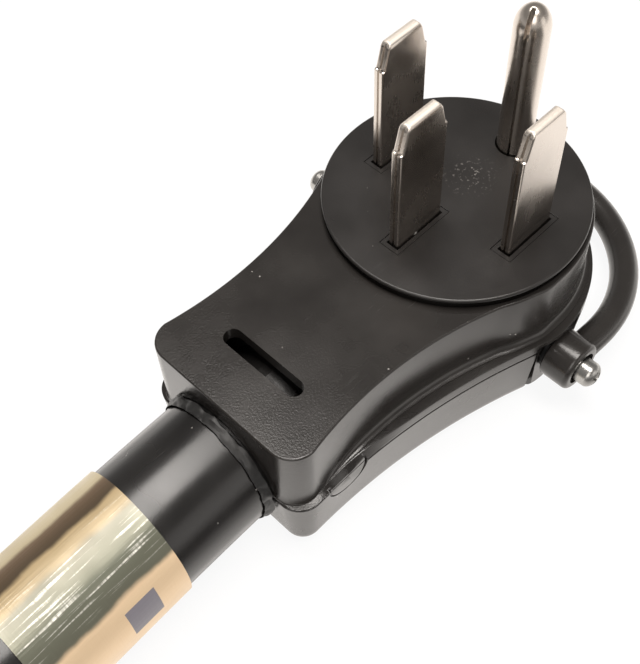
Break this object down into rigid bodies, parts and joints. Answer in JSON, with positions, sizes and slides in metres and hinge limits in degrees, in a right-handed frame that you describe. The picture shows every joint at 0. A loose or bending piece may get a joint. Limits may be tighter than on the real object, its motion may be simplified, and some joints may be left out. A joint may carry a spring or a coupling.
{
  "type": "shore power cord",
  "caption": "Right-angle shore power plug with straight blades, a ground pin and a pivoting pull bail, on a thick cord tied in a coil with an in-line connector at its far end.",
  "frame": {"origin": "on the surface that the plug lies on, under the middle of its round face", "axes": "+Z the way the blades point, +X away from the cord, so the cord leaves along -X; +Y across the bail's pivots"},
  "size_m": [0.5467, 0.46, 0.0758],
  "materials": {
    "body_vinyl": "satin",
    "face_nylon": "matte",
    "cord_jacket": "semi-gloss",
    "nickel_plate": "satin",
    "brass": "satin",
    "steel": "polished",
    "black_steel": "black oxide",
    "copper": "bright strands",
    "label_foil": "glossy foil",
    "tie_webbing": "woven",
    "insulation_red": "satin",
    "insulation_black": "satin",
    "insulation_white": "satin",
    "insulation_green": "satin"
  },
  "bodies": {
    "plug": {"lower_shell": "body_vinyl", "upper_shell": "body_vinyl", "face_plate": "face_nylon", "contact_carrier": "face_nylon", "hot_blade_left": "nickel_plate", "hot_blade_right": "nickel_plate", "neutral_blade": "nickel_plate", "ground_pin": "nickel_plate", "hot_left_crimp": "brass", "hot_left_conductor": "insulation_red", "hot_left_copper": "copper", "hot_right_crimp": "brass", "hot_right_conductor": "insulation_black", "hot_right_copper": "copper", "neutral_crimp": "brass", "neutral_conductor": "insulation_white", "neutral_copper": "copper", "ground_crimp": "brass", "ground_conductor": "insulation_green", "ground_copper": "copper", "jacket_end": "cord_jacket", "cord_clamp": "face_nylon", "entry_collar": "body_vinyl", "pivot_insert_left": "black_steel", "pivot_screw_left": "steel", "pivot_insert_right": "black_steel", "pivot_screw_right": "steel", "cord_lead": "cord_jacket", "cord_label": "label_foil", "cord_coil": "cord_jacket", "cord_tail": "cord_jacket", "coil_tie_1": "tie_webbing", "coil_tie_2": "tie_webbing", "connector_boot": "body_vinyl", "connector_shell": "body_vinyl", "connector_face": "face_nylon", "connector_core": "face_nylon", "socket_hot_left": "brass", "socket_hot_right": "brass", "socket_neutral": "brass", "socket_ground": "brass"},
    "bail": {"bail_handle": "body_vinyl"}
  },
  "joints": [
    {"name": "bail_pivot", "type": "hinge", "parent": "plug", "child": "bail", "pos_m": [-0.0007, 0, 0.0118], "axis": [0, 1, 0], "range_deg": [-50, 84]}
  ]
}
